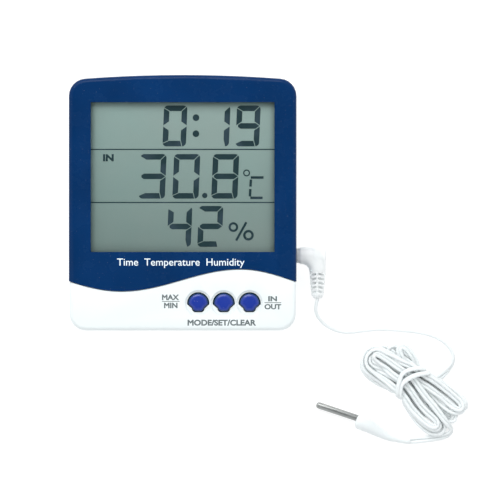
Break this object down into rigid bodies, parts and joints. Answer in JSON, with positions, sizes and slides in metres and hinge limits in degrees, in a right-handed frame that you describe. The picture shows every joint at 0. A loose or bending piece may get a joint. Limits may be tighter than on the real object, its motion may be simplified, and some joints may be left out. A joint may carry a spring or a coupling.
{
  "type": "maximum minimum thermometer",
  "caption": "Flat digital clock, thermometer and hygrometer with maximum-minimum memory, a fold-out leg, and a plug-in wired temperature probe on a tied cord.",
  "frame": {"origin": "centre of the case's bounding box in plan, at the back face that the case lies on; the lead and probe are left out of that box", "axes": "+Z out of the display, +Y towards the display's top edge, +X to the right as the display is read"},
  "size_m": [0.1703, 0.1597, 0.0224],
  "materials": {
    "blue_case": "satin moulded ABS with a very fine spark-erosion grain",
    "white_case": "satin white moulded ABS",
    "blue_key": "polished moulded ABS",
    "clear_lens": "clear polished acrylic",
    "lcd_glass": "thin display glass",
    "lcd_film": "grey-green polariser and reflector film",
    "holder_plastic": "dark grey moulded plastic",
    "zebra_rubber": "layered conductive silicone",
    "green_board": "green solder mask",
    "black_plastic": "black moulded plastic",
    "silicone": "translucent grey silicone rubber",
    "bright_metal": "nickel plate",
    "zinc_screw": "zinc-plated steel",
    "gold_contact": "brass spring strip",
    "battery_label": "printed sleeve on a metal can",
    "white_vinyl": "soft white PVC",
    "steel_tube": "drawn stainless steel",
    "sensor_bead": "epoxy-dipped thermistor bead"
  },
  "bodies": {
    "case": {"bezel": "blue_case", "front_cover": "white_case", "back_cover": "white_case", "display_window": "clear_lens", "lcd_front_glass": "lcd_glass", "lcd_rear_glass": "lcd_glass", "lcd_front_polariser": "lcd_film", "lcd_reflector": "lcd_film", "lcd_holder": "holder_plastic", "zebra_strip_upper": "zebra_rubber", "zebra_strip_lower": "zebra_rubber", "main_board": "green_board", "chip_blob": "black_plastic", "board_capacitor": "black_plastic", "unit_switch_body": "black_plastic", "jack_socket": "black_plastic", "keypad_mat": "silicone", "key_dome_max_min": "silicone", "key_dome_mode_set": "silicone", "key_dome_in_out": "silicone", "crystal": "bright_metal", "battery_contact_positive": "bright_metal", "battery_contact_negative": "bright_metal", "battery_spring": "bright_metal", "case_screw_1": "zinc_screw", "case_screw_2": "zinc_screw", "case_screw_3": "zinc_screw", "case_screw_4": "zinc_screw", "board_screw_1": "zinc_screw", "board_screw_2": "zinc_screw", "board_screw_3": "zinc_screw", "board_screw_4": "zinc_screw", "jack_contact": "gold_contact", "battery": "battery_label", "humidity_sensor": "white_vinyl", "air_thermistor": "sensor_bead"},
    "key_max_min": {"button_max_min": "blue_key"},
    "key_mode_set": {"button_mode_set": "blue_key"},
    "key_in_out": {"button_in_out": "blue_key"},
    "leg": {"stand_leg": "white_case"},
    "bay_door": {"battery_door": "white_case"},
    "unit_knob": {"unit_switch_knob": "black_plastic"},
    "probe_lead": {"plug_body": "white_vinyl", "plug_sleeve": "bright_metal", "plug_insulator": "black_plastic", "plug_tip": "bright_metal", "cord_run": "white_vinyl", "cord_hank": "white_vinyl", "cord_tie": "white_vinyl", "cord_tail": "white_vinyl", "probe_sleeve": "white_vinyl", "probe_tube": "steel_tube", "probe_thermistor": "sensor_bead"}
  },
  "joints": [
    {"name": "press_max_min", "type": "slide", "parent": "case", "child": "key_max_min", "axis": [0, 0, -1], "range_m": [0, 0.0009], "stiffness_N_per_m": 800, "deforming": ["key_dome_max_min"]},
    {"name": "press_mode_set", "type": "slide", "parent": "case", "child": "key_mode_set", "axis": [0, 0, -1], "range_m": [0, 0.0009], "stiffness_N_per_m": 800, "deforming": ["key_dome_mode_set"]},
    {"name": "press_in_out", "type": "slide", "parent": "case", "child": "key_in_out", "axis": [0, 0, -1], "range_m": [0, 0.0009], "stiffness_N_per_m": 800, "deforming": ["key_dome_in_out"]},
    {"name": "leg_fold", "type": "hinge", "parent": "case", "child": "leg", "pos_m": [0, -0.01, 0.0017], "axis": [1, 0, 0], "range_deg": [0, 45]},
    {"name": "door_swing", "type": "hinge", "parent": "case", "child": "bay_door", "pos_m": [0, 0.0045, 0.0002], "axis": [-1, 0, 0], "range_deg": [0, 75]},
    {"name": "unit_slide", "type": "slide", "parent": "case", "child": "unit_knob", "axis": [1, 0, 0], "range_m": [0, 0.0034]},
    {"name": "plug_pull", "type": "slide", "parent": "case", "child": "probe_lead", "axis": [1, 0, 0], "range_m": [0, 0.015]}
  ]
}
